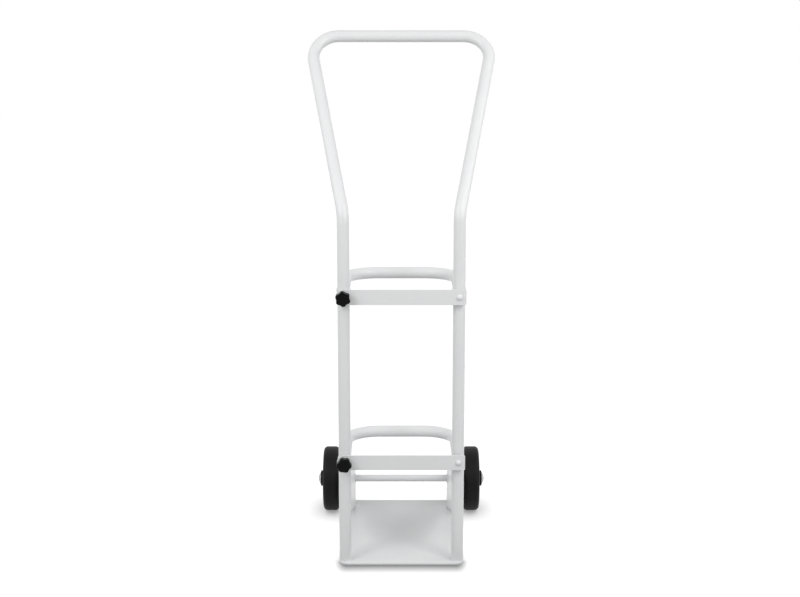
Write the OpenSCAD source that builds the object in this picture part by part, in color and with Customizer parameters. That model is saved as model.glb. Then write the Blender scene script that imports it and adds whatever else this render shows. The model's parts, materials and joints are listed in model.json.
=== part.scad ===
// Gas cylinder trolley: a bent tube frame on a toe plate, with two cradles, two swinging straps
// and a pair of wheels on a fixed axle. Millimetres. The origin is on the floor, midway between
// the axes of the uprights: +X to the right, +Y to the back, +Z up.

/* [Frame] */
// Outside diameter of the frame tube and the cradle tubes
tube_d = 28; // [22:1:34]
// Wall of the tube
tube_wall = 2; // [1.2:0.1:3]
// Thinning of the wall in the bends, on each face
bend_thinning = 0.05; // [0.03:0.01:0.1]
// Distance between the axes of the two uprights
upright_spacing = 263; // [240:1:300]
// Height at which the uprights bend back towards the handle
bend_z = 828; // [780:1:900]
// Height of the handle bar's axis
handle_z = 1215; // [1150:1:1300]
// Angle by which the handle leans back
handle_rake = 37; // [25:1:45]
// Angle by which the handle's sides spread
handle_flare = 10.4; // [5:0.1:14]
// Radius of the frame's bends, at the tube's axis
frame_bend_r = 60; // [45:1:75]

/* [Cradles] */
// Distance from the uprights' axes back to the cradle's rear run, at the tube's axis
cradle_depth = 229; // [180:1:250]
// Height of the lower cradle's axis
lower_cradle_z = 251; // [230:1:300]
// Height of the upper cradle above the lower one
cradle_pitch = 400; // [330:1:450]
// Radius of the cradle's bends, at the tube's axis
cradle_bend_r = 78; // [50:1:90]

/* [Straps] */
// Width of the flat bar
strap_w = 35; // [28:1:40]
// Thickness of the flat bar
strap_t = 4; // [3:0.5:6]
// Height of the lower strap's centre line
lower_strap_z = 250; // [220:1:280]
// Height of the upper strap's centre line
upper_strap_z = 639; // [600:1:680]
// Room between the uprights' front and the strap's back
strap_standoff = 6; // [5:0.5:12]
// Length of the strap past the pivot
strap_tail = 15.5; // [12:0.5:25]
// Radius of the corners at the strap's tail
strap_corner_r = 3; // [1:0.5:6]
// Width of the notch that hooks over the stud
notch_w = 11; // [10:0.5:13]

/* [Pivot and clamp] */
// Diameter of the bosses set into the uprights
boss_d = 16; // [14:0.5:20]
// Depth inside the tube's axis plane at which the bosses stop
boss_stop = 2; // [1:0.5:5]
// Diameter of the pivot bolt's shank
pivot_d = 8; // [6:0.5:9]
// Diameter of the pivot bolt's domed head
pivot_head_d = 14; // [12:0.5:18]
// Height of the pivot bolt's domed head
pivot_head_h = 5; // [3:0.5:6]
// Diameter of the washer behind the strap
washer_d = 18; // [15:0.5:22]
// Thickness of the washer behind the strap
washer_t = 1.5; // [1:0.1:2]
// Diameter of the clamp stud
stud_d = 8; // [6:0.5:9]
// Depth of the stud in the knob
stud_in_knob = 14; // [10:0.5:16]
// Diameter of the star knob over its lobes
knob_d = 35; // [30:1:40]
// Length of the star knob's lobed head
knob_head = 16; // [12:0.5:18]
// Length of the star knob's neck
knob_neck = 8; // [5:0.5:12]
// Diameter of the star knob's neck
knob_neck_d = 17; // [15:0.5:20]
// Radius of the hollows between the lobes
scallop_r = 14; // [10:0.5:18]
// Depth of the hollows between the lobes
scallop_depth = 2.8; // [1.6:0.2:3.6]
// Radius of the knob's rounded edges
knob_round = 4; // [2:0.5:5]
// Angle at which the upper knob stands when it is tight
upper_knob_turn = 36; // [0:1:60]
// Angle at which the lower knob stands when it is tight
lower_knob_turn = 54; // [0:1:60]

/* [Toe plate] */
// Width of the toe plate
plate_w = 291; // [291:1:308]
// Thickness of the toe plate
plate_t = 4; // [3:0.5:6]
// Reach of the toe plate in front of the uprights' axes
plate_front = 24; // [23:1:120]
// Reach of the toe plate behind the uprights' axes
plate_rear = 420; // [395:1:440]
// Radius of the toe plate's front corners
front_corner_r = 22; // [10:1:23]
// Radius of the toe plate's rear corners
rear_corner_r = 10; // [4:1:20]

/* [Axle and brackets] */
// Diameter of the axle
axle_d = 18; // [16:1:22]
// Distance from the uprights' axes back to the axle
axle_y = 368; // [366:1:400]
// Distance between the inner faces of the two brackets
bracket_gap = 239; // [237:1:243]
// Thickness of the bracket plate
bracket_t = 5; // [4:0.5:8]
// Width of the bracket's arm
bracket_arm_w = 42; // [32:1:46]
// Rise of the bracket's round nose over the edges of the arm
bracket_nose_rise = 1; // [0.5:0.5:4]
// Drop from the underside of the lower cradle to the top of the bracket
bracket_drop = 8; // [4:1:40]
// Bottom of the bracket at the upright
bracket_bottom = 126; // [80:1:150]
// Length of the bracket's foot on the toe plate
bracket_foot = 20; // [14:1:80]
// Radius of the bracket's heel behind the foot
bracket_heel_r = 4; // [2:0.5:10]

/* [Wheels] */
// Diameter of the wheel over its tyre
wheel_d = 165; // [155:1:180]
// Width of the tyre
wheel_w = 40; // [34:1:46]
// Distance between the middle planes of the two wheels
track = 361; // [355:1:400]
// Radius of the tyre's shoulders
shoulder_r = 10; // [6:0.5:12]
// Distance from the tread in to the groove round each side of the tyre
groove_in = 13; // [12:0.5:15]
// Width of the groove round each side of the tyre
groove_w = 2.5; // [1:0.5:3]
// Depth of the groove round each side of the tyre
groove_depth = 1; // [0.5:0.1:2]
// Diameter of the rim's bed under the tyre
bed_d = 112; // [100:1:116]
// Height of the rim's flanges above the bed
flange_h = 5; // [3:0.5:7]
// Thickness of the rim's flanges
flange_t = 3; // [2:0.5:4]
// Thickness of the rim's ring under the bed
ring_t = 4; // [3:0.5:6]
// Thickness of the rim's web
web_t = 6; // [4:0.5:10]
// Number of ribs on each side of the web
rib_count = 8; // [5:1:12]
// Thickness of a rib
rib_t = 3; // [2:0.5:5]
// Reach of the ribs to each side of the wheel's middle plane
rib_reach = 14; // [8:1:16]
// Diameter of the hub
hub_d = 40; // [34:1:44]
// Length of the hub
hub_len = 56; // [50:1:60]
// Wall of the bush in the hub
bush_wall = 3; // [2:0.5:4]
// Wall of the spacer between bracket and hub
spacer_wall = 3.5; // [2:0.5:5]
// Diameter of the axle cap's flange
cap_flange_d = 31; // [28:1:32]
// Thickness of the axle cap's flange
cap_flange_t = 1.2; // [0.8:0.1:2]
// Diameter of the axle cap's dome
cap_dome_d = 27; // [26:0.5:28]
// Height of the axle cap
cap_h = 6.2; // [5.6:0.1:9]
// Depth of the axle's end in the cap
cap_grip = 2.4; // [1.5:0.1:2.6]

/* [Clearances] */
// Room round a shaft that turns or slides in its bore, on the radius
run_gap = 0.05; // [0.02:0.01:0.1]
// Room between faces that move past each other
face_gap = 0.3; // [0.2:0.05:0.5]
// Room round a piece that is seated in another, on the radius
seat_gap = 0.05; // [0.02:0.01:0.1]
// Room at a coped joint that a weld fills
weld_gap = 0.2; // [0.1:0.05:0.4]

/* [Hidden] */
$fn = 64;
powder_white = "whitesmoke";
rubber_black = [0.10, 0.10, 0.10];
plastic_black = [0.14, 0.14, 0.15];
zinc_grey = "silver";
nylon_white = "ivory";

tube_r = tube_d / 2;
upright_x = upright_spacing / 2;
handle_y = (handle_z - bend_z) * tan(handle_rake);
handle_x = upright_x + (handle_z - bend_z) / cos(handle_rake) * tan(handle_flare);
upper_cradle_z = lower_cradle_z + cradle_pitch;

// Length by which a straight tube runs into a bend
bend_lap = 1;

// Distances in front of the uprights' axes
strap_back = tube_r + strap_standoff;
strap_front = strap_back + strap_t;
clamp_boss_front = strap_back - face_gap;
pivot_boss_front = strap_back - face_gap - washer_t;
knob_back = strap_front + face_gap;

bracket_in = bracket_gap / 2;
bracket_out = bracket_in + bracket_t;
bracket_top = lower_cradle_z - tube_r - bracket_drop;

axle_z = wheel_d / 2;
axle_r = axle_d / 2;
wheel_x = track / 2;
bush_r = axle_r + run_gap + bush_wall;
bed_r = bed_d / 2;
flange_r = bed_r + flange_h;
hub_inner_x = wheel_x - hub_len / 2;
hub_outer_x = wheel_x + hub_len / 2;
cap_x = hub_outer_x + face_gap;

function unit(v) = v / norm(v);

function angle_between(a, b) = acos(a * b);

// Headings of the straights between a tube's corner points
function headings(points) = [for (i = [0 : len(points) - 2]) unit(points[i + 1] - points[i])];

// Length of straight that a bend takes up on each side of its corner
function setback(before, after, bend_r) = bend_r * tan(angle_between(before, after) / 2);

module on_axes(x_dir, y_dir, z_dir, at) {
    rows = [for (i = [0 : 2]) [x_dir[i], y_dir[i], z_dir[i], at[i]]];
    multmatrix([rows[0], rows[1], rows[2], [0, 0, 0, 1]]) children();
}

module tube_section(thinning = 0) {
    difference() {
        circle(r = tube_r - thinning);
        circle(r = tube_r - tube_wall + thinning);
    }
}

module straight(from, heading, length) {
    aside = abs(heading[0]) < 0.9 ? [1, 0, 0] : [0, 0, 1];
    across = unit(cross(aside, heading));
    on_axes(across, cross(heading, across), heading, from) linear_extrude(length) tube_section();
}

module bend(corner, before, after, bend_r) {
    start = corner - setback(before, after, bend_r) * before;
    inward = unit(after - (before * after) * before);
    on_axes(-inward, before, cross(before, inward), start + bend_r * inward)
        rotate_extrude(angle = angle_between(before, after))
            translate([bend_r, 0]) tube_section(bend_thinning);
}

// A tube that runs straight between its corner points and bends round the inner ones. Each straight
// laps into the bends, whose thinner wall lies inside its own.
module bent_tube(points, bend_r) {
    along = headings(points);
    last = len(points) - 1;
    trims = [
        for (i = [0 : last])
            i == 0 || i == last ? 0 : setback(along[i - 1], along[i], bend_r) - bend_lap
    ];
    for (i = [0 : last - 1]) {
        length = norm(points[i + 1] - points[i]) - trims[i] - trims[i + 1];
        straight(points[i] + trims[i] * along[i], along[i], length);
    }
    for (i = [1 : last - 1]) bend(points[i], along[i - 1], along[i], bend_r);
}

// Faces forwards from an upright's axis: the children's +Z points to the front
module on_upright(side, z) {
    translate([side * upright_x, 0, z]) rotate([90, 0, 0]) children();
}

// Lies on the wheels' axis: the children's +Z points outwards to that side
module on_axle(side, x) {
    mirror([side < 0 ? 1 : 0, 0, 0]) translate([x, axle_y, axle_z]) rotate([0, 90, 0]) children();
}

// What a rounded corner takes off a square one, with the corner at the origin
module corner_off(r) {
    difference() {
        translate([-r, -r]) square(2 * r);
        translate([-r, -r]) circle(r);
        translate([-2 * r, -r]) square([r, 2 * r]);
        translate([-r, -2 * r]) square([2 * r, r]);
    }
}

module sleeve(outer_r, inner_r, from, to) {
    translate([0, 0, from]) linear_extrude(to - from) difference() {
        circle(outer_r);
        circle(inner_r);
    }
}

// Cross-section of a dome of a given base and height, on the right of the axis
module dome_section(base_r, h) {
    dome_r = (base_r * base_r + h * h) / (2 * h);
    intersection() {
        translate([0, h - dome_r]) circle(dome_r);
        square([base_r, h]);
    }
}

module main_frame() color(powder_white) {
    corners = [
        [-upright_x, 0, plate_t],
        [-upright_x, 0, bend_z],
        [-handle_x, handle_y, handle_z],
        [handle_x, handle_y, handle_z],
        [upright_x, 0, bend_z],
        [upright_x, 0, plate_t]
    ];
    difference() {
        bent_tube(corners, frame_bend_r);
        for (side = [-1, 1], z = [lower_strap_z, upper_strap_z])
            on_upright(side, z) cylinder(r = boss_d / 2 + seat_gap, h = tube_d);
    }
}

module cradle(z) {
    corners = [
        [-upright_x, 0, z],
        [-upright_x, cradle_depth, z],
        [upright_x, cradle_depth, z],
        [upright_x, 0, z]
    ];
    color(powder_white) difference() {
        bent_tube(corners, cradle_bend_r);
        for (side = [-1, 1]) translate([side * upright_x, 0, z - tube_d])
            cylinder(r = tube_r + weld_gap, h = 2 * tube_d);
    }
}

module upper_cradle() cradle(upper_cradle_z);

module lower_cradle() cradle(lower_cradle_z);

module plate_outline() {
    difference() {
        translate([-plate_w / 2, -plate_front]) square([plate_w, plate_front + plate_rear]);
        for (flip = [0, 1]) mirror([flip, 0]) {
            translate([plate_w / 2, plate_rear]) corner_off(rear_corner_r);
            translate([plate_w / 2, -plate_front]) mirror([0, 1]) corner_off(front_corner_r);
        }
    }
}

module toe_plate() color(powder_white) linear_extrude(plate_t) plate_outline();

// A bracket lying flat, with +X to the back and +Y up: an arm that slopes from the upright down to a
// round nose at the axle, and the web and heel below it
module flat_bracket() {
    nose = [axle_y, axle_z];
    half = bracket_arm_w / 2;
    reach = nose - [0, bracket_top];
    slope = atan2(reach[1], reach[0]) + asin(half / norm(reach));
    back = axle_y + half;
    difference() {
        union() {
            linear_extrude(bracket_t) polygon([
                [0, bracket_bottom],
                [0, bracket_top],
                nose + half * [-sin(slope), cos(slope)],
                [back, axle_z],
                [back, plate_t],
                [back - bracket_foot, plate_t]
            ]);
            translate(nose) cylinder(r = half + bracket_nose_rise, h = bracket_t);
        }
        translate([back, plate_t, -bracket_t]) linear_extrude(3 * bracket_t)
            mirror([0, 1]) corner_off(bracket_heel_r);
        translate([axle_y, axle_z, -bracket_t]) cylinder(r = axle_r + seat_gap, h = 3 * bracket_t);
    }
}

module axle_bracket(side) {
    color(powder_white) mirror([side < 0 ? 1 : 0, 0, 0]) difference() {
        translate([bracket_in, 0, 0]) rotate([90, 0, 90]) flat_bracket();
        translate([upright_x, 0, 0]) cylinder(r = tube_r + weld_gap, h = bend_z);
    }
}

module left_axle_bracket() axle_bracket(-1);

module right_axle_bracket() axle_bracket(1);

module axle() color(powder_white) {
    half = cap_x + cap_grip;
    chamfer = 1;
    translate([0, axle_y, axle_z]) rotate([0, 90, 0]) rotate_extrude() polygon([
        [0, -half],
        [axle_r - chamfer, -half],
        [axle_r, chamfer - half],
        [axle_r, half - chamfer],
        [axle_r - chamfer, half],
        [0, half]
    ]);
}

module spacer(side) {
    bore_r = axle_r + seat_gap;
    color(zinc_grey) on_axle(side, 0)
        sleeve(bore_r + spacer_wall, bore_r, bracket_out, hub_inner_x - face_gap);
}

module left_spacer() spacer(-1);

module right_spacer() spacer(1);

module axle_cap(side) {
    color(zinc_grey) on_axle(side, cap_x) rotate_extrude() difference() {
        union() {
            square([cap_flange_d / 2, cap_flange_t]);
            translate([0, cap_flange_t]) dome_section(cap_dome_d / 2, cap_h - cap_flange_t);
        }
        translate([0, -cap_h]) square([axle_r + seat_gap, cap_h + cap_grip + seat_gap]);
    }
}

module left_axle_cap() axle_cap(-1);

module right_axle_cap() axle_cap(1);

module tyre_section() {
    tread_r = wheel_d / 2;
    half = wheel_w / 2;
    wall_r = flange_r + face_gap;
    bead_r = bed_r + seat_gap;
    bead_w = wheel_w - 2 * flange_t - 2 * seat_gap;
    difference() {
        union() {
            translate([bead_r, -bead_w / 2]) square([tread_r - shoulder_r - bead_r, bead_w]);
            translate([wall_r, -half]) square([tread_r - shoulder_r - wall_r, wheel_w]);
            translate([wall_r, shoulder_r - half]) square([tread_r - wall_r, wheel_w - 2 * shoulder_r]);
            for (edge = [shoulder_r - half, half - shoulder_r])
                translate([tread_r - shoulder_r, edge]) circle(shoulder_r);
        }
        for (edge = [-half, half]) translate([tread_r - groove_in - groove_w / 2, edge - groove_depth])
            square([groove_w, 2 * groove_depth]);
    }
}

module tyre(side) {
    color(rubber_black) on_axle(side, wheel_x) rotate_extrude() tyre_section();
}

module left_tyre() tyre(-1);

module right_tyre() tyre(1);

module rim_section() {
    half = wheel_w / 2;
    hub_half = hub_len / 2;
    bore_r = bush_r + seat_gap;
    translate([bore_r, -hub_half]) square([hub_d / 2 - bore_r, hub_len]);
    translate([bore_r, -web_t / 2]) square([bed_r - bore_r, web_t]);
    translate([bed_r - ring_t, -half]) square([ring_t, wheel_w]);
    for (edge = [-half, half - flange_t])
        translate([bed_r - ring_t, edge]) square([ring_t + flange_h, flange_t]);
}

module rim(side) {
    rib_from = hub_d / 2 - bush_wall / 2;
    rib_to = bed_r - ring_t / 2;
    color(plastic_black) on_axle(side, wheel_x) union() {
        rotate_extrude() rim_section();
        for (i = [0 : rib_count - 1])
            rotate(i * 360 / rib_count) translate([rib_from, -rib_t / 2, -rib_reach])
                cube([rib_to - rib_from, rib_t, 2 * rib_reach]);
    }
}

module left_rim() rim(-1);

module right_rim() rim(1);

module bush(side) {
    color(nylon_white) on_axle(side, wheel_x) sleeve(bush_r, axle_r + run_gap, -hub_len / 2, hub_len / 2);
}

module left_bush() bush(-1);

module right_bush() bush(1);

module clamp_boss(z) {
    color(powder_white) on_upright(-1, z)
        sleeve(boss_d / 2, stud_d / 2 + run_gap, boss_stop, clamp_boss_front);
}

module upper_clamp_boss() clamp_boss(upper_strap_z);

module lower_clamp_boss() clamp_boss(lower_strap_z);

module pivot_boss(z) {
    color(powder_white) on_upright(1, z)
        sleeve(boss_d / 2, pivot_d / 2 + seat_gap, boss_stop, pivot_boss_front);
}

module upper_pivot_boss() pivot_boss(upper_strap_z);

module lower_pivot_boss() pivot_boss(lower_strap_z);

module pivot_washer(z) {
    color(nylon_white) on_upright(1, z)
        sleeve(washer_d / 2, pivot_d / 2 + seat_gap, pivot_boss_front, pivot_boss_front + washer_t);
}

module upper_pivot_washer() pivot_washer(upper_strap_z);

module lower_pivot_washer() pivot_washer(lower_strap_z);

module pivot_bolt(z) {
    head_back = strap_front + face_gap;
    color(powder_white) on_upright(1, z) rotate_extrude() {
        translate([0, boss_stop]) square([pivot_d / 2, head_back - boss_stop]);
        translate([0, head_back]) dome_section(pivot_head_d / 2, pivot_head_h);
    }
}

module upper_pivot_bolt() pivot_bolt(upper_strap_z);

module lower_pivot_bolt() pivot_bolt(lower_strap_z);

// Front view of a strap, with its centre line on the X axis
module strap_outline() {
    difference() {
        union() {
            translate([-upright_x, -strap_w / 2]) square([upright_spacing + strap_tail, strap_w]);
            translate([-upright_x, 0]) circle(d = strap_w);
        }
        for (flip = [0, 1])
            mirror([0, flip]) translate([upright_x + strap_tail, strap_w / 2]) corner_off(strap_corner_r);
        translate([upright_x, 0]) circle(pivot_d / 2 + run_gap);
        translate([-upright_x, 0]) circle(d = notch_w);
        translate([-upright_x - notch_w / 2, -strap_w]) square([notch_w, strap_w]);
    }
}

module strap(z) {
    color(powder_white) translate([0, -strap_back, z]) rotate([90, 0, 0])
        linear_extrude(strap_t) strap_outline();
}

module upper_strap() strap(upper_strap_z);

module lower_strap() strap(lower_strap_z);

module knob_stud(z) {
    color(zinc_grey) on_upright(-1, z) translate([0, 0, boss_stop])
        cylinder(d = stud_d, h = knob_back + stud_in_knob - boss_stop);
}

module upper_knob_stud() knob_stud(upper_strap_z);

module lower_knob_stud() knob_stud(lower_strap_z);

// Front view of the knob's head, with one lobe on the +X axis
module star_outline() {
    lobes = 6;
    scallop_at = knob_d / 2 + scallop_r - scallop_depth;
    difference() {
        circle(d = knob_d);
        for (i = [0 : lobes - 1])
            rotate((i + 0.5) * 360 / lobes) translate([scallop_at, 0]) circle(scallop_r);
    }
}

// Half section of the knob's head, with its outer edges rounded
module head_section() {
    straight_r = knob_d / 2 - knob_round;
    square([straight_r, knob_head]);
    translate([0, knob_round]) square([knob_d / 2, knob_head - 2 * knob_round]);
    for (edge = [knob_round, knob_head - knob_round]) translate([straight_r, edge]) circle(knob_round);
}

module knob(z, turn) {
    color(plastic_black) on_upright(-1, z) translate([0, 0, knob_back]) rotate(turn) difference() {
        union() {
            cylinder(d = knob_neck_d, h = knob_neck + knob_round);
            translate([0, 0, knob_neck]) intersection() {
                linear_extrude(knob_head) star_outline();
                rotate_extrude() head_section();
            }
        }
        translate([0, 0, -knob_neck])
            cylinder(r = stud_d / 2 + run_gap, h = knob_neck + stud_in_knob + face_gap);
    }
}

module upper_knob() knob(upper_strap_z, upper_knob_turn);

module lower_knob() knob(lower_strap_z, lower_knob_turn);

main_frame();
upper_cradle();
lower_cradle();
toe_plate();
left_axle_bracket();
right_axle_bracket();
axle();
left_spacer();
right_spacer();
left_axle_cap();
right_axle_cap();
left_tyre();
right_tyre();
left_rim();
right_rim();
left_bush();
right_bush();
upper_clamp_boss();
lower_clamp_boss();
upper_pivot_boss();
lower_pivot_boss();
upper_pivot_washer();
lower_pivot_washer();
upper_pivot_bolt();
lower_pivot_bolt();
upper_strap();
lower_strap();
upper_knob_stud();
lower_knob_stud();
upper_knob();
lower_knob();
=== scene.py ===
# %% [markdown]
# A gas cylinder trolley in a white studio. The solids of the trolley come ready made, in metres, with
# the floor at zero and the uprights' axes in the plane Y = 0. This lesson gives them their finishes,
# adds the small things that a welder and a thread cutter leave behind, and lights the whole.

# %% Load the trolley
import json
import math

import bpy
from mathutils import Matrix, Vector


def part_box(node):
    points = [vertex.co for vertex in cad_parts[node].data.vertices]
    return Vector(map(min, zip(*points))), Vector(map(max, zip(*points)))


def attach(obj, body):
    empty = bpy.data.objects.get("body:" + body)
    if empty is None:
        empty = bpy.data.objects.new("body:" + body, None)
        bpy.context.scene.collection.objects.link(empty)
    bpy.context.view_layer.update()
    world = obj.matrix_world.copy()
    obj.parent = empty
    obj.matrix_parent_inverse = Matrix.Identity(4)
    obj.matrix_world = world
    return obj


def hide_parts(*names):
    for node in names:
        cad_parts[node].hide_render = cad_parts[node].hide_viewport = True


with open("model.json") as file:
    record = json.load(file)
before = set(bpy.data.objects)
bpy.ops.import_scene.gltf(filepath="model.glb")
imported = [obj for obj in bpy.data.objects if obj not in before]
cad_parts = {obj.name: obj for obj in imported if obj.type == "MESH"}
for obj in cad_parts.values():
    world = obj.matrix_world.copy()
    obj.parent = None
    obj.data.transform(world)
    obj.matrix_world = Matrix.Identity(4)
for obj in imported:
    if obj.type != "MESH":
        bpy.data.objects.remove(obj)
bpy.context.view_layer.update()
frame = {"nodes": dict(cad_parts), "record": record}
bpy.ops.object.select_all(action="DESELECT")
MM = 0.001

# %% [markdown]
# Colours are easiest to judge as the hex values of a paint program, which are sRGB. Blender's shaders
# reckon in linear light, so one function turns the one into the other.

# %% Colours
def linear(hex_colour):
    channels = [int(hex_colour[i:i + 2], 16) / 255 for i in (0, 2, 4)]
    return [c / 12.92 if c <= 0.04045 else ((c + 0.055) / 1.055) ** 2.4 for c in channels] + [1.0]


print("mid grey 808080 is", round(linear("808080")[0], 3), "in linear light")

# %% [markdown]
# A material is a small tree of nodes. One function adds a node: its settings are either choices of the
# node itself or fixed values of its sockets, and its links say what feeds a socket. A socket goes by its
# name, or by its number where several share a name, as the colours of a Mix node do.

# %% Nodes and materials
def add(tree, kind, settings=None, links=None):
    node = tree.nodes.new(kind)
    for name, value in (settings or {}).items():
        if isinstance(name, str) and hasattr(node, name):
            setattr(node, name, value)
        else:
            node.inputs[name].default_value = value
    for name, source in (links or {}).items():
        tree.links.new(source, node.inputs[name])
    return node


def new_material(name):
    material = bpy.data.materials.new(name)
    material.use_nodes = True
    material.node_tree.nodes.clear()
    return material, material.node_tree


def per_metre(size_mm):
    return 1 / (size_mm * MM)


print("a 2 mm pattern has a scale of", per_metre(2), "per metre")

# %% [markdown]
# No real finish is even. On all of the trolley's finishes the colour and the gloss change together, because
# both come from the same film, crystal or bloom. Two patterns would drift apart, so one pattern drives both,
# between two colours and two roughnesses.

# %% Uneven colour and gloss
FIRST_COLOUR, SECOND_COLOUR, MIXED_COLOUR = 6, 7, 2


def uneven(tree, pattern, colours, roughness):
    first, second = colours
    smooth, rough = roughness
    tint = add(
        tree, "ShaderNodeMix",
        {"data_type": "RGBA", FIRST_COLOUR: linear(first), SECOND_COLOUR: linear(second)},
        {"Factor": pattern},
    )
    gloss = add(tree, "ShaderNodeMapRange", {"To Min": smooth, "To Max": rough}, {"Value": pattern})
    return {"Base Color": tint.outputs[MIXED_COLOUR], "Roughness": gloss.outputs["Result"]}


FINISH = {}

# %% [markdown]
# The frame is steel tube, plate and flat bar under a white powder coat. The powder melts in an oven and
# levels almost flat, which leaves a satin gloss with a faint orange peel, its bumps 2 to 3 mm apart and a
# few hundredths of a millimetre high. The film is a little thicker in some places than in others, so the
# white and the gloss vary slowly over a hand's width. A plain white would look like paper, so one noise
# draws the film and a much finer one the peel.

# %% White powder coat
def white_powder_coat():
    material, tree = new_material("white_powder_coat")
    place = add(tree, "ShaderNodeTexCoord").outputs["Object"]
    film = add(tree, "ShaderNodeTexNoise", {"Scale": per_metre(90), "Detail": 2.0}, {"Vector": place})
    look = uneven(tree, film.outputs["Fac"], colours=("E9EAEA", "E3E4E5"), roughness=(0.30, 0.40))
    peel = add(tree, "ShaderNodeTexNoise", {"Scale": per_metre(2.5), "Detail": 1.0}, {"Vector": place})
    bump = add(
        tree, "ShaderNodeBump", {"Strength": 0.12, "Distance": 0.05 * MM}, {"Height": peel.outputs["Fac"]}
    )
    look["Normal"] = bump.outputs["Normal"]
    shader = add(tree, "ShaderNodeBsdfPrincipled", {"IOR": 1.5}, look)
    add(tree, "ShaderNodeOutputMaterial", links={"Surface": shader.outputs["BSDF"]})
    return material


FINISH["powder_coat_white"] = white_powder_coat()
print("finish:", FINISH["powder_coat_white"].name)

# %% [markdown]
# Caps, spacers and studs are steel with dull zinc plate. Zinc grows in small crystals, so the plate is a
# grey metal whose gloss changes from patch to patch, a millimetre or two across. Noise would blur the
# patches into each other. A Voronoi texture gives each cell one colour of its own, as a crystal has.

# %% Zinc plate
def dull_zinc_plate():
    material, tree = new_material("dull_zinc_plate")
    place = add(tree, "ShaderNodeTexCoord").outputs["Object"]
    crystals = add(tree, "ShaderNodeTexVoronoi", {"Scale": per_metre(1.6)}, {"Vector": place})
    patches = add(tree, "ShaderNodeSeparateColor", links={"Color": crystals.outputs["Color"]})
    look = uneven(tree, patches.outputs["Red"], colours=("B9BBB9", "A6A8A7"), roughness=(0.30, 0.46))
    shader = add(tree, "ShaderNodeBsdfPrincipled", {"Metallic": 1.0}, look)
    add(tree, "ShaderNodeOutputMaterial", links={"Surface": shader.outputs["BSDF"]})
    return material


FINISH["zinc_plate"] = dull_zinc_plate()
print("finish:", FINISH["zinc_plate"].name)

# %% [markdown]
# The tyres are solid black rubber, pressed in a steel mould. Rubber is dark and matt, with a fine grain
# from the mould and a faint grey bloom where wax has come to the surface. Both are soft shapes, so noise
# draws them, at two sizes. The grain swallows part of the gloss, so the specular level is below that of a
# polished surface.

# %% Tyre rubber
def black_tyre_rubber():
    material, tree = new_material("black_tyre_rubber")
    place = add(tree, "ShaderNodeTexCoord").outputs["Object"]
    bloom = add(tree, "ShaderNodeTexNoise", {"Scale": per_metre(25), "Detail": 4.0}, {"Vector": place})
    look = uneven(tree, bloom.outputs["Fac"], colours=("09090A", "121213"), roughness=(0.44, 0.58))
    grain = add(tree, "ShaderNodeTexNoise", {"Scale": per_metre(1.2), "Detail": 2.0}, {"Vector": place})
    bump = add(
        tree, "ShaderNodeBump", {"Strength": 0.35, "Distance": 0.1 * MM}, {"Height": grain.outputs["Fac"]}
    )
    look["Normal"] = bump.outputs["Normal"]
    shader = add(tree, "ShaderNodeBsdfPrincipled", {"IOR": 1.5, "Specular IOR Level": 0.15}, look)
    add(tree, "ShaderNodeOutputMaterial", links={"Surface": shader.outputs["BSDF"]})
    return material


FINISH["tyre_rubber"] = black_tyre_rubber()
print("finish:", FINISH["tyre_rubber"].name)

# %% [markdown]
# The wheel centres are moulded polypropylene and the star knobs moulded nylon, both black. The moulds are
# spark eroded, which leaves a pebbled grain of about half a millimetre. A Voronoi texture's distances make
# such pebbles. They are drawn at about one millimetre here, because the real grain is too fine to show. The
# grain scatters the gloss of the black pieces, hence their low specular level. The bushes and washers are
# the same nylon without the black, so one function makes all three plastics.

# %% Moulded plastics
def moulded_plastic(name, colours, roughness, specular):
    material, tree = new_material(name)
    place = add(tree, "ShaderNodeTexCoord").outputs["Object"]
    flow = add(tree, "ShaderNodeTexNoise", {"Scale": per_metre(18), "Detail": 2.0}, {"Vector": place})
    look = uneven(tree, flow.outputs["Fac"], colours, roughness)
    grain = add(tree, "ShaderNodeTexVoronoi", {"Scale": per_metre(1.0)}, {"Vector": place})
    bump = add(
        tree, "ShaderNodeBump", {"Strength": 0.2, "Distance": 0.08 * MM},
        {"Height": grain.outputs["Distance"]},
    )
    look["Normal"] = bump.outputs["Normal"]
    shader = add(tree, "ShaderNodeBsdfPrincipled", {"IOR": 1.5, "Specular IOR Level": specular}, look)
    add(tree, "ShaderNodeOutputMaterial", links={"Surface": shader.outputs["BSDF"]})
    return material


FINISH["rim_plastic"] = moulded_plastic(
    "black_polypropylene", colours=("0F0F10", "171718"), roughness=(0.42, 0.55), specular=0.15
)
FINISH["knob_plastic"] = moulded_plastic(
    "black_nylon", colours=("050506", "090909"), roughness=(0.34, 0.46), specular=0.08
)
FINISH["nylon"] = moulded_plastic(
    "natural_nylon", colours=("DAD8CE", "CFCCC0"), roughness=(0.38, 0.50), specular=0.5
)
print("finishes:", sorted(material.name for material in FINISH.values()))

# %% [markdown]
# The solids come without finishes. They could be dressed one by one, but the record names the material
# slot of each, so one loop does it and forgets none.

# %% Dress the solids
for subpart in frame["record"]["subparts"]:
    solid = frame["nodes"][subpart["node"]]
    solid.data.materials.clear()
    solid.data.materials.append(FINISH[subpart["material_slot"]])

# %% [markdown]
# Where tubes and plates meet, the real trolley has weld beads under its paint. A bead is a rope of metal
# that follows the joint, with a ripple for each time that the welder moved on. It could be sculpted, but a
# curve with a round bevel follows any joint, and a point's radius makes the ripple: every other point is a
# crest, and those between are a little thinner. Each curve then becomes a mesh.

# %% Weld beads
RIPPLE = 3.4 * MM
BETWEEN_CRESTS = 0.84


def crests(length):
    return max(2, round(length / RIPPLE))


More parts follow.
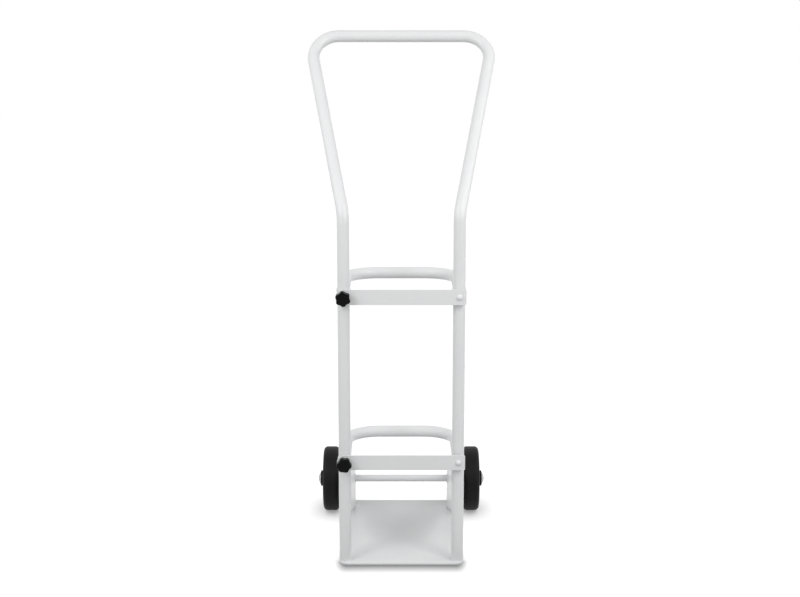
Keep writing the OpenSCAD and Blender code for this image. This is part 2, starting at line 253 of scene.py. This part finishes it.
def bead(path, radius):
    bpy.ops.object.transform_apply(location=True, rotation=True, scale=True)
    bpy.ops.object.convert(target="CURVE")
    path.data.bevel_depth = radius
    path.data.bevel_resolution = 2
    path.data.use_fill_caps = True
    for i, point in enumerate(path.data.splines[0].points):
        point.radius = 1.0 if i % 2 else BETWEEN_CRESTS
    bpy.ops.object.convert(target="MESH")
    bpy.ops.object.shade_smooth()
    return path


print("a 30 mm bead has", crests(30 * MM), "crests")

# %% [markdown]
# Most of the welds run round a tube, a boss or the axle. Such a bead starts as a circle. Each of its points
# may be raised along the circle's axis, where the weld follows another tube, and a stretch that the welder
# leaves open is deleted.

# %% Welds round a ring
def ring_bead(place, turn, ring_radius, radius, rise=lambda x, y: 0.0, left_out=lambda x, y: False):
    points = 2 * crests(2 * math.pi * ring_radius)
    bpy.ops.mesh.primitive_circle_add(vertices=points, radius=ring_radius, location=place, rotation=turn)
    path = bpy.context.active_object
    bpy.ops.object.mode_set(mode="EDIT")
    bpy.ops.mesh.select_all(action="DESELECT")
    bpy.ops.object.mode_set(mode="OBJECT")
    for vertex in path.data.vertices:
        vertex.select = left_out(vertex.co.x / ring_radius, vertex.co.y / ring_radius)
        vertex.co.z += rise(vertex.co.x, vertex.co.y)
    bpy.ops.object.mode_set(mode="EDIT")
    bpy.ops.mesh.delete(type="VERT")
    bpy.ops.object.mode_set(mode="OBJECT")
    return bead(path, radius)


print("a ring of 10 mm radius has", crests(2 * math.pi * 10 * MM), "crests")

# %% [markdown]
# The beads of one kind of joint are joined to one piece. They lie under the same paint as the frame and
# move with it. Each bead could stay a piece by itself, but on the trolley no bead moves alone.

# %% Welds as one piece
def join_welds(name, beads):
    bpy.ops.object.select_all(action="DESELECT")
    for rope in beads:
        rope.select_set(True)
    bpy.context.view_layer.objects.active = beads[0]
    bpy.ops.object.join()
    welds = bpy.context.active_object
    welds.name = welds.data.name = name
    welds.select_set(False)
    welds.data.materials.clear()
    welds.data.materials.append(FINISH["powder_coat_white"])
    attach(welds, "frame")
    print(name, "has", len(beads), "beads and", len(welds.data.polygons), "faces")


# %% [markdown]
# The uprights stand on the toe plate, flush with its sides. A bead on the outside would stand out past the
# plate, and the front of the feet stays clean because it shows. So the weld goes round the inner and rear
# side only: it is a ring that is left open at the front and the outside, from about half its radius on.
# The cradles are bent from the same tube as the uprights and meet them in line, so a cradle's box gives
# the tube's radius and the uprights' place.

# %% Welds at the feet
FLAT = (0, 0, 0)
BEAD_R = 2.0 * MM
FOOT_SPREAD = 0.6 * MM
FOOT_RISE = 0.5 * MM
OPEN_FROM = 0.49

cradle_low, cradle_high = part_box("upper_cradle")
tube_r = (cradle_high.z - cradle_low.z) / 2
upright_x = cradle_high.x - tube_r
plate_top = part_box("toe_plate")[1].z
feet = []
for side in (-1, 1):
    place = (side * upright_x, 0, plate_top + FOOT_RISE)
    feet.append(ring_bead(
        place, FLAT, tube_r + FOOT_SPREAD, BEAD_R,
        left_out=lambda x, y: side * x > OPEN_FROM or y < -OPEN_FROM,
    ))
join_welds("foot_welds", feet)

# %% [markdown]
# The cradles' ends are coped to the uprights: seen along the cradle the weld is a circle, and seen from
# the side it dips between the tubes like a saddle. The line where two tubes cross could be cut by a Boolean,
# but a formula for the height of each point of a circle gives one clean ring. The dip is rounded off where
# the two sides pass each other. A circle turned by a quarter about X faces along the cradle.

# %% Welds at the cradles
FACING_BACK = (math.radians(-90), 0, 0)
SADDLE_SPREAD = 0.5 * MM
DIP_ROUND = 0.15
saddle_r = tube_r + SADDLE_SPREAD


def saddle(x, y):
    return saddle_r * (math.hypot(y / saddle_r, DIP_ROUND) - DIP_ROUND / 2)


cradle_beads = []
for cradle in ("upper_cradle", "lower_cradle"):
    low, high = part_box(cradle)
    for side in (-1, 1):
        place = (side * upright_x, 0, (low.z + high.z) / 2)
        cradle_beads.append(ring_bead(place, FACING_BACK, saddle_r, BEAD_R, rise=saddle))
join_welds("cradle_welds", cradle_beads)

# %% [markdown]
# The axle brackets are flat plates, so most of their welds are straight. A straight bead is drawn from a
# single vertex, which a plane merged at its centre gives: the vertex is extruded along the seam, and the
# edge that this leaves is subdivided for the ripples.

# %% Straight welds
def line_bead(start, end, radius):
    run = end - start
    bpy.ops.mesh.primitive_plane_add(size=RIPPLE, location=start)
    bpy.ops.object.mode_set(mode="EDIT")
    bpy.ops.mesh.merge(type="CENTER")
    bpy.ops.mesh.extrude_region_move(TRANSFORM_OT_translate={"value": run})
    bpy.ops.mesh.select_all(action="SELECT")
    bpy.ops.mesh.subdivide(number_cuts=2 * crests(run.length) - 1)
    bpy.ops.object.mode_set(mode="OBJECT")
    return bead(bpy.context.active_object, radius)


bracket_low, bracket_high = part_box("right_axle_bracket")
print("a bracket's plate is", round((bracket_high.x - bracket_low.x) / MM, 1), "mm thick")

# %% [markdown]
# Each bracket is welded to its upright down both sides, to the toe plate along its foot, and to the axle
# round its nose. The middle of a bead lies in the corner between two surfaces, a fraction of a millimetre
# off them, so that about half of it shows. The upright is round, so the seam on the bracket's outer side is
# set back. The seams' ends are measured from the top and the rear end of the bracket.

# %% Welds at the brackets
FACING_ASIDE = (0, math.radians(90), 0)
THIN_BEAD_R = 1.8 * MM
SEAM_OFF = 0.3 * MM
SEAM_TOP, SEAM_BOTTOM = 4 * MM, 97.4 * MM
OUTER_SETBACK = 5.1 * MM
TOE_OFF = 0.4 * MM
TOE_FRONT, TOE_REAR = 19 * MM, 5 * MM
NOSE_SPREAD = 0.5 * MM

axle_low, axle_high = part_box("axle")
axle_r = (axle_high.z - axle_low.z) / 2
axle_y, axle_z = axle_high.y - axle_r, axle_high.z - axle_r
seam_y = bracket_low.y - SEAM_OFF
seams = ((bracket_low.x - SEAM_OFF, seam_y), (bracket_high.x + SEAM_OFF, seam_y + OUTER_SETBACK))
bracket_beads = []
for side in (-1, 1):
    for x, y in seams:
        bottom = Vector((side * x, y, bracket_high.z - SEAM_BOTTOM))
        top = Vector((side * x, y, bracket_high.z - SEAM_TOP))
        bracket_beads.append(line_bead(bottom, top, BEAD_R))
    x, z = side * (bracket_low.x - TOE_OFF), plate_top + TOE_OFF
    front = Vector((x, bracket_high.y - TOE_FRONT, z))
    rear = Vector((x, bracket_high.y - TOE_REAR, z))
    bracket_beads.append(line_bead(front, rear, THIN_BEAD_R))
    bracket_beads.append(ring_bead((x, axle_y, axle_z), FACING_ASIDE, axle_r + NOSE_SPREAD, THIN_BEAD_R))
join_welds("bracket_welds", bracket_beads)

# %% [markdown]
# The bosses for pivots and studs are set into holes in the uprights and welded round with a thinner bead.
# A flat ring would float off the tube at its sides, so each point is moved to the tube's front.

# %% Welds at the bosses
BOSS_BEAD_R = 1.2 * MM
BOSS_SPREAD = 0.3 * MM
OFF_THE_TUBE = 0.2 * MM


def tube_front(x, y):
    return -math.sqrt((tube_r + OFF_THE_TUBE) ** 2 - x ** 2)


boss_beads = []
for boss in ("upper_clamp_boss", "lower_clamp_boss", "upper_pivot_boss", "lower_pivot_boss"):
    low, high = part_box(boss)
    place = ((low.x + high.x) / 2, 0, (low.z + high.z) / 2)
    boss_r = (high.z - low.z) / 2
    boss_beads.append(ring_bead(place, FACING_BACK, boss_r + BOSS_SPREAD, BOSS_BEAD_R, rise=tube_front))
join_welds("boss_welds", boss_beads)

# %% [markdown]
# The clamp studs are 8 mm thread with a pitch of 1.25 mm. A thread drawn by a bump map would leave the
# outline straight, so it is modelled. A plane is merged to one vertex, and the vertex is extruded to a
# profile one pitch long: up one flank, along the crest and down the other flank.

# %% Thread profile
PITCH = 1.25 * MM
CREST_R = 3.95 * MM
ROOT_R = 3.3 * MM
FLANK = 0.42 * PITCH
CREST = PITCH - 2 * FLANK


def thread_profile():
    bpy.ops.mesh.primitive_plane_add(size=PITCH)
    bpy.ops.object.mode_set(mode="EDIT")
    bpy.ops.mesh.merge(type="CENTER")
    bpy.ops.transform.translate(value=(ROOT_R, 0, 0))
    depth = CREST_R - ROOT_R
    for step in ((depth, 0, FLANK), (0, 0, CREST), (-depth, 0, FLANK)):
        bpy.ops.mesh.extrude_region_move(TRANSFORM_OT_translate={"value": step})
    bpy.ops.object.mode_set(mode="OBJECT")
    return bpy.context.active_object


print("the thread is", round((CREST_R - ROOT_R) / MM, 2), "mm deep")

# %% [markdown]
# A Screw modifier winds the profile up along the stud, with a turn to spare at each end. The two ends are
# then cut square and closed, and the stud takes the place of the plain rod.

# %% Threaded studs
THREAD_STEPS = 24
SPARE_TURNS = 2
SAME_POINT = 0.01 * MM
SHARP_EDGE = math.radians(35)


def cut_end(place, outwards):
    bpy.ops.mesh.select_all(action="SELECT")
    bpy.ops.mesh.bisect(plane_co=place, plane_no=outwards, use_fill=True, clear_outer=True)


def threaded_stud(node, body):
    low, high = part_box(node)
    length = high.y - low.y
    centre = (low + high) / 2
    stud = thread_profile()
    stud.name = stud.data.name = node + "_thread"
    wind = stud.modifiers.new("wind", "SCREW")
    wind.screw_offset = PITCH
    wind.iterations = math.ceil(length / PITCH) + SPARE_TURNS
    wind.steps = wind.render_steps = THREAD_STEPS
    wind.use_merge_vertices = True
    bpy.ops.object.modifier_apply(modifier=wind.name)
    stud.rotation_euler = FACING_BACK
    stud.location = (centre.x, low.y - PITCH, centre.z)
    bpy.ops.object.transform_apply(location=True, rotation=True, scale=True)
    bpy.ops.object.mode_set(mode="EDIT")
    bpy.ops.mesh.select_all(action="SELECT")
    bpy.ops.mesh.remove_doubles(threshold=SAME_POINT)
    cut_end(low, (0, -1, 0))
    cut_end(high, (0, 1, 0))
    bpy.ops.mesh.select_all(action="SELECT")
    bpy.ops.mesh.normals_make_consistent(inside=False)
    bpy.ops.object.mode_set(mode="OBJECT")
    bpy.ops.object.shade_smooth_by_angle(angle=SHARP_EDGE)
    stud.select_set(False)
    stud.data.materials.append(FINISH["zinc_plate"])
    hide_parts(node)
    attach(stud, body)
    print(stud.name, "has", len(stud.data.polygons), "faces and is", round(length / MM, 1), "mm long")


threaded_stud("upper_knob_stud", "upper_stud")
threaded_stud("lower_knob_stud", "lower_stud")

# %% [markdown]
# The studio is a white floor that fades into a white world. A world bright enough to look white would bleach
# the trolley. So the camera and reflections see it at a strength of 1, which is white, and the light that
# it sheds on the trolley stays at a plain level. A Light Path node tells which kind of ray asks.

# %% World
AMBIENT = 0.47


def seen_rays(tree):
    ray = add(tree, "ShaderNodeLightPath")
    seen = ray.outputs["Is Camera Ray"]
    for kind in ("Is Glossy Ray", "Is Transmission Ray"):
        either = add(tree, "ShaderNodeMath", {"operation": "MAXIMUM"}, {0: seen, 1: ray.outputs[kind]})
        seen = either.outputs[0]
    return seen


world = bpy.data.worlds.new("studio")
bpy.context.scene.world = world
world.use_nodes = True
sky = world.node_tree
sky.nodes.clear()
level = add(sky, "ShaderNodeMapRange", {"To Min": AMBIENT, "To Max": 1.0}, {"Value": seen_rays(sky)})
glow = add(
    sky, "ShaderNodeBackground", {"Color": linear("FFFFFF")}, {"Strength": level.outputs["Result"]}
)
add(sky, "ShaderNodeOutputWorld", links={"Surface": glow.outputs["Background"]})
print("world light", AMBIENT)

# %% [markdown]
# The trolley darkens the floor in front of its toe plate. The plate is too thin for the lamps or ambient
# occlusion to show that, so this is painted shade, worked out from the place on the floor. It is the product
# of
# three ramps: one rises towards the plate's front edge, one ends the shade under the plate, and one lets it
# run out at the plate's corners.

# %% Shade along the plate
EDGE_SHADE = 60 * MM
EDGE_DARKNESS = 0.8
CORNER_SHADE = 18 * MM
UNDER_FROM, UNDER_TO = 18 * MM, 36 * MM
MULTIPLY = {"operation": "MULTIPLY"}


def plate_shade(tree):
    spot = add(tree, "ShaderNodeTexCoord").outputs["Object"]
    place = add(tree, "ShaderNodeSeparateXYZ", links={"Vector": spot})
    aside = add(tree, "ShaderNodeMath", {"operation": "ABSOLUTE"}, {0: place.outputs["X"]})
    low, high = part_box("toe_plate")
    ahead = add(
        tree, "ShaderNodeMapRange",
        {"From Min": low.y - EDGE_SHADE, "From Max": low.y, "To Max": EDGE_DARKNESS},
        {"Value": place.outputs["Y"]},
    )
    under = add(
        tree, "ShaderNodeMapRange",
        {"From Min": low.y + UNDER_TO, "From Max": low.y + UNDER_FROM},
        {"Value": place.outputs["Y"]},
    )
    corner = add(
        tree, "ShaderNodeMapRange",
        {
            "interpolation_type": "SMOOTHSTEP",
            "From Min": high.x + CORNER_SHADE,
            "From Max": high.x - CORNER_SHADE,
        },
        {"Value": aside.outputs[0]},
    )
    # The product of the ramps is the strength of the painted shade in front of the plate.
    shade = ahead.outputs["Result"]
    for ramp in (under, corner):
        shade = add(tree, "ShaderNodeMath", MULTIPLY, {0: shade, 1: ramp.outputs["Result"]}).outputs[0]
    return shade


print("the shade reaches", round(EDGE_SHADE / MM), "mm in front of the plate")

# %% [markdown]
# The floor is a sheet of white paper. A glow that only the camera and mirror images see lifts it to the
# white of the world, and puts no light on the trolley. Ambient occlusion tells how closely things stand
# over a point of the floor, and there the paper's colour and glow are darkened: a painted shadow under the
# wheels. The painted shade along the plate darkens them in the same way.

# %% Floor
FLOOR_SIZE = 30
COVER_REACH = 70 * MM
LEAST_LIGHT = 0.32
PAPER_GLOW = 0.82


def white_paper():
    material, tree = new_material("white_paper")
    edge = add(tree, "ShaderNodeMapRange", {"To Min": 1.0, "To Max": 0.0}, {"Value": plate_shade(tree)})
    cover = add(tree, "ShaderNodeAmbientOcclusion", {"samples": 8, "Distance": COVER_REACH})
    open_to_light = add(tree, "ShaderNodeMapRange", {"To Min": LEAST_LIGHT}, {"Value": cover.outputs["AO"]})
    light = add(
        tree, "ShaderNodeMath", MULTIPLY, {0: open_to_light.outputs["Result"], 1: edge.outputs["Result"]}
    ).outputs[0]
    # Painted shade: the paper's colour runs from black where the painted shade is full to B4B4B4 in the
    # open, and its glow is dimmed by the same factor.
    tint = add(
        tree, "ShaderNodeMix",
        {"data_type": "RGBA", FIRST_COLOUR: linear("000000"), SECOND_COLOUR: linear("B4B4B4")},
        {"Factor": light},
    )
    paper = add(tree, "ShaderNodeBsdfDiffuse", links={"Color": tint.outputs[MIXED_COLOUR]})
    lift = add(tree, "ShaderNodeMapRange", {"To Max": PAPER_GLOW}, {"Value": seen_rays(tree)})
    strength = add(tree, "ShaderNodeMath", MULTIPLY, {0: lift.outputs["Result"], 1: light})
    glow = add(
        tree, "ShaderNodeEmission", {"Color": linear("FFFFFF")}, {"Strength": strength.outputs[0]}
    )
    both = add(tree, "ShaderNodeAddShader", links={0: paper.outputs["BSDF"], 1: glow.outputs["Emission"]})
    add(tree, "ShaderNodeOutputMaterial", links={"Surface": both.outputs["Shader"]})
    return material


bpy.ops.mesh.primitive_plane_add(size=FLOOR_SIZE)
floor = bpy.context.active_object
floor.name = "floor"
floor.data.materials.append(white_paper())
print("floor", tuple(round(d) for d in floor.dimensions))

# %% [markdown]
# Two tall soft boxes stand on either side of the camera, and each throws the shadow of an upright across
# the toe plate, so that two faint bands cross there. A tall box keeps the shadow of an upright narrow and
# blurs that of a level strap away. Two smaller boxes at the sides keep the round tubes from going dark at
# their edges. Spot lamps would give hard shadows, and the world alone would give none.

# %% Lights
def soft_boxes(kind, place, aim, size, powers):
    for side, mirror, power in zip(("left", "right"), (-1, 1), powers):
        spot = Vector((mirror * place[0], place[1], place[2]))
        target = Vector((mirror * aim[0], aim[1], aim[2]))
        turn = (target - spot).to_track_quat("-Z", "Y").to_euler()
        bpy.ops.object.light_add(type="AREA", location=spot, rotation=turn)
        lamp = bpy.context.active_object
        lamp.name = lamp.data.name = side + "_" + kind
        lamp.data.shape = "RECTANGLE"
        lamp.data.size, lamp.data.size_y = size
        lamp.data.energy = power
        print(lamp.name, power, "W")


soft_boxes("key", place=(1.19, -1.26, 1.65), aim=(0.05, 0.1, 0.3), size=(0.8, 1.6), powers=(13.6, 14.6))
soft_boxes("side", place=(1.4, -0.1, 1.4), aim=(0.0, 0.1, 0.7), size=(0.8, 0.8), powers=(3.6, 4.8))

# %% [markdown]
# The camera looks down a little from just above the handle. Its lens comes from the photograph: the plate's
# edges run together as they would seen from three metres, which on a picture 800 pixels wide makes a focal
# length of 1400 pixels. On the default sensor of 36 mm that is a 63 mm lens.

# %% Camera
CAMERA_PLACE = (-0.0031, -3.12, 1.250)
LOOK_DOWN = 11.2
FOCAL_PX, WIDTH_PX = 1400, 800
SENSOR = 36.0
bpy.ops.object.camera_add(location=CAMERA_PLACE, rotation=(math.radians(90 - LOOK_DOWN), 0, 0))
camera = bpy.context.active_object
lens = camera.data
lens.sensor_width = SENSOR
lens.lens = FOCAL_PX / WIDTH_PX * SENSOR
bpy.context.scene.camera = camera
bpy.context.scene.view_settings.view_transform = "Standard"
print("lens", lens.lens, "mm")
